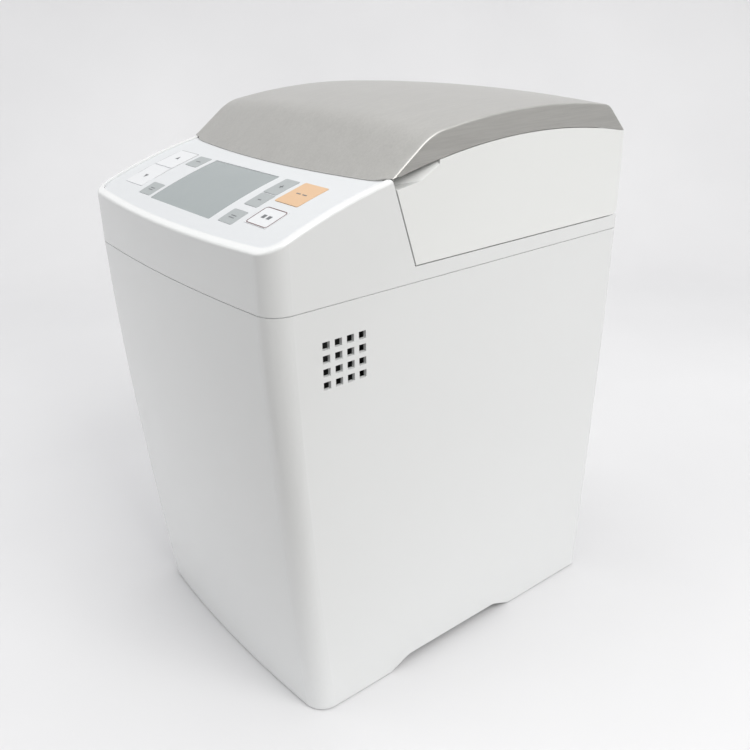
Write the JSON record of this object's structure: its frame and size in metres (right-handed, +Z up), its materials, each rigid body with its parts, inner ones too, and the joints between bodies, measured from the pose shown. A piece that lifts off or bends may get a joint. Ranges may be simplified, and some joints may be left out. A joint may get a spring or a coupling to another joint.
{
  "type": "bread machine",
  "caption": "Countertop bread machine with a tapered body, a sloping control panel, a deep hinged lid with a brushed cover, a lift-out pan and a belt drive.",
  "frame": {"origin": "on the floor, under the middle of the body", "axes": "+Z up, the front and the control panel face -Y, +X to the right seen from the front"},
  "size_m": [0.23, 0.302, 0.394],
  "materials": {
    "body_white": "moulded gloss white",
    "lid_white": "moulded gloss white",
    "cover_metal": "fine brushed, satin",
    "overlay": "printed sheet, satin",
    "key_grey": "satin",
    "key_white": "satin",
    "key_orange": "satin",
    "window": "clear",
    "display": "grey-green display face",
    "board_green": "circuit board",
    "component_black": "moulded",
    "copper": "copper winding and sintered bronze",
    "sheet_steel": "plated sheet steel",
    "cast_core": "laminated steel core",
    "aluminium": "satin",
    "nonstick": "dark non-stick coat",
    "pan_metal": "cast aluminium with dark coat",
    "screw_steel": "plated steel",
    "rubber": "matt",
    "silicone": "translucent grey silicone",
    "black_plastic": "moulded",
    "grey_plastic": "moulded"
  },
  "bodies": {
    "housing": {"lower_housing": "body_white", "base_plate": "grey_plastic", "rubber_feet": "rubber", "base_screws": "screw_steel", "rear_cover": "body_white", "rear_screws": "screw_steel", "cord_gland": "black_plastic", "upper_frame": "body_white", "control_overlay": "overlay", "lcd_window": "window", "lcd_module": "display", "control_board": "board_green", "key_switches": "component_black", "baking_chamber": "sheet_steel", "chamber_screws": "screw_steel", "heater": "sheet_steel", "heater_clips": "sheet_steel", "temperature_sensor": "screw_steel", "pan_mount": "aluminium", "chassis_posts": "sheet_steel", "drive_bracket": "sheet_steel", "shaft_bearings": "copper", "drive_belt": "rubber", "motor_body": "cast_core", "motor_screws": "screw_steel", "power_board": "board_green", "board_standoffs": "aluminium", "transformer": "cast_core", "power_parts": "component_black", "hinge_pins": "screw_steel"},
    "lid": {"lid_shell": "lid_white", "lid_cover": "cover_metal", "steam_vent": "black_plastic", "lid_inner_plate": "aluminium", "lid_seal": "silicone", "lid_screws": "screw_steel", "dispenser_box": "grey_plastic", "dispenser_solenoid": "component_black"},
    "flap": {"dispenser_flap": "grey_plastic"},
    "pan": {"bread_pan": "pan_metal", "pan_seal": "silicone"},
    "bail": {"pan_handle": "screw_steel"},
    "blade": {"pan_shaft": "screw_steel", "pan_coupling": "aluminium", "kneading_blade": "nonstick"},
    "drive": {"drive_shaft": "screw_steel", "drive_socket": "aluminium", "large_pulley": "black_plastic"},
    "rotor": {"motor_shaft": "screw_steel", "motor_pulley": "aluminium", "motor_fan": "black_plastic"},
    "key_start": {"key_start": "key_orange"},
    "key_cancel": {"key_cancel": "key_white"},
    "key_menu_up": {"key_menu_up": "key_white"},
    "key_menu_down": {"key_menu_down": "key_white"},
    "key_left_upper": {"key_left_upper": "key_grey"},
    "key_left_lower": {"key_left_lower": "key_grey"},
    "key_right_upper": {"key_right_upper": "key_grey"},
    "key_right_middle": {"key_right_middle": "key_grey"},
    "key_right_lower": {"key_right_lower": "key_grey"}
  },
  "joints": [
    {"name": "lid_hinge", "type": "hinge", "parent": "housing", "child": "lid", "pos_m": [0, 0.143, 0.3158], "axis": [-1, 0, 0], "range_deg": [0, 80]},
    {"name": "flap_hinge", "type": "hinge", "parent": "lid", "child": "flap", "pos_m": [0, 0.053, 0.323], "axis": [1, 0, 0], "range_deg": [0, 70]},
    {"name": "pan_lift", "type": "slide", "parent": "housing", "child": "pan", "axis": [0, 0, 1], "range_m": [0, 0.04]},
    {"name": "bail_hinge", "type": "hinge", "parent": "pan", "child": "bail", "pos_m": [0, 0.048, 0.252], "axis": [1, 0, 0], "range_deg": [0, 180]},
    {"name": "blade_spin", "type": "hinge", "parent": "pan", "child": "blade", "pos_m": [0, 0.048, 0.12], "axis": [0, 0, 1], "continuous": true},
    {"name": "drive_spin", "type": "hinge", "parent": "housing", "child": "drive", "pos_m": [0, 0.048, 0.07], "axis": [0, 0, 1], "continuous": true},
    {"name": "motor_spin", "type": "hinge", "parent": "housing", "child": "rotor", "pos_m": [0, -0.084, 0.07], "axis": [0, 0, 1], "continuous": true},
    {"name": "key_start_press", "type": "slide", "parent": "housing", "child": "key_start", "axis": [0, 0.2875, -0.9578], "range_m": [0, 0.0006], "stiffness_N_per_m": 900, "springref_m": -0.0006},
    {"name": "key_cancel_press", "type": "slide", "parent": "housing", "child": "key_cancel", "axis": [0, 0.3564, -0.9343], "range_m": [0, 0.0006], "stiffness_N_per_m": 900, "springref_m": -0.0006},
    {"name": "key_menu_up_press", "type": "slide", "parent": "housing", "child": "key_menu_up", "axis": [0, 0.2866, -0.958], "range_m": [0, 0.0006], "stiffness_N_per_m": 900, "springref_m": -0.0006},
    {"name": "key_menu_down_press", "type": "slide", "parent": "housing", "child": "key_menu_down", "axis": [0, 0.3491, -0.9371], "range_m": [0, 0.0006], "stiffness_N_per_m": 900, "springref_m": -0.0006},
    {"name": "key_left_upper_press", "type": "slide", "parent": "housing", "child": "key_left_upper", "axis": [0, 0.2765, -0.961], "range_m": [0, 0.0006], "stiffness_N_per_m": 900, "springref_m": -0.0006},
    {"name": "key_left_lower_press", "type": "slide", "parent": "housing", "child": "key_left_lower", "axis": [0, 0.3757, -0.9267], "range_m": [0, 0.0006], "stiffness_N_per_m": 900, "springref_m": -0.0006},
    {"name": "key_right_upper_press", "type": "slide", "parent": "housing", "child": "key_right_upper", "axis": [0, 0.2822, -0.9594], "range_m": [0, 0.0006], "stiffness_N_per_m": 900, "springref_m": -0.0006},
    {"name": "key_right_middle_press", "type": "slide", "parent": "housing", "child": "key_right_middle", "axis": [0, 0.3268, -0.9451], "range_m": [0, 0.0006], "stiffness_N_per_m": 900, "springref_m": -0.0006},
    {"name": "key_right_lower_press", "type": "slide", "parent": "housing", "child": "key_right_lower", "axis": [0, 0.375, -0.927], "range_m": [0, 0.0006], "stiffness_N_per_m": 900, "springref_m": -0.0006}
  ],
  "couplings": [
    {"joint": "blade_spin", "follows": "drive_spin", "ratio": 1},
    {"joint": "motor_spin", "follows": "drive_spin", "ratio": 5}
  ]
}
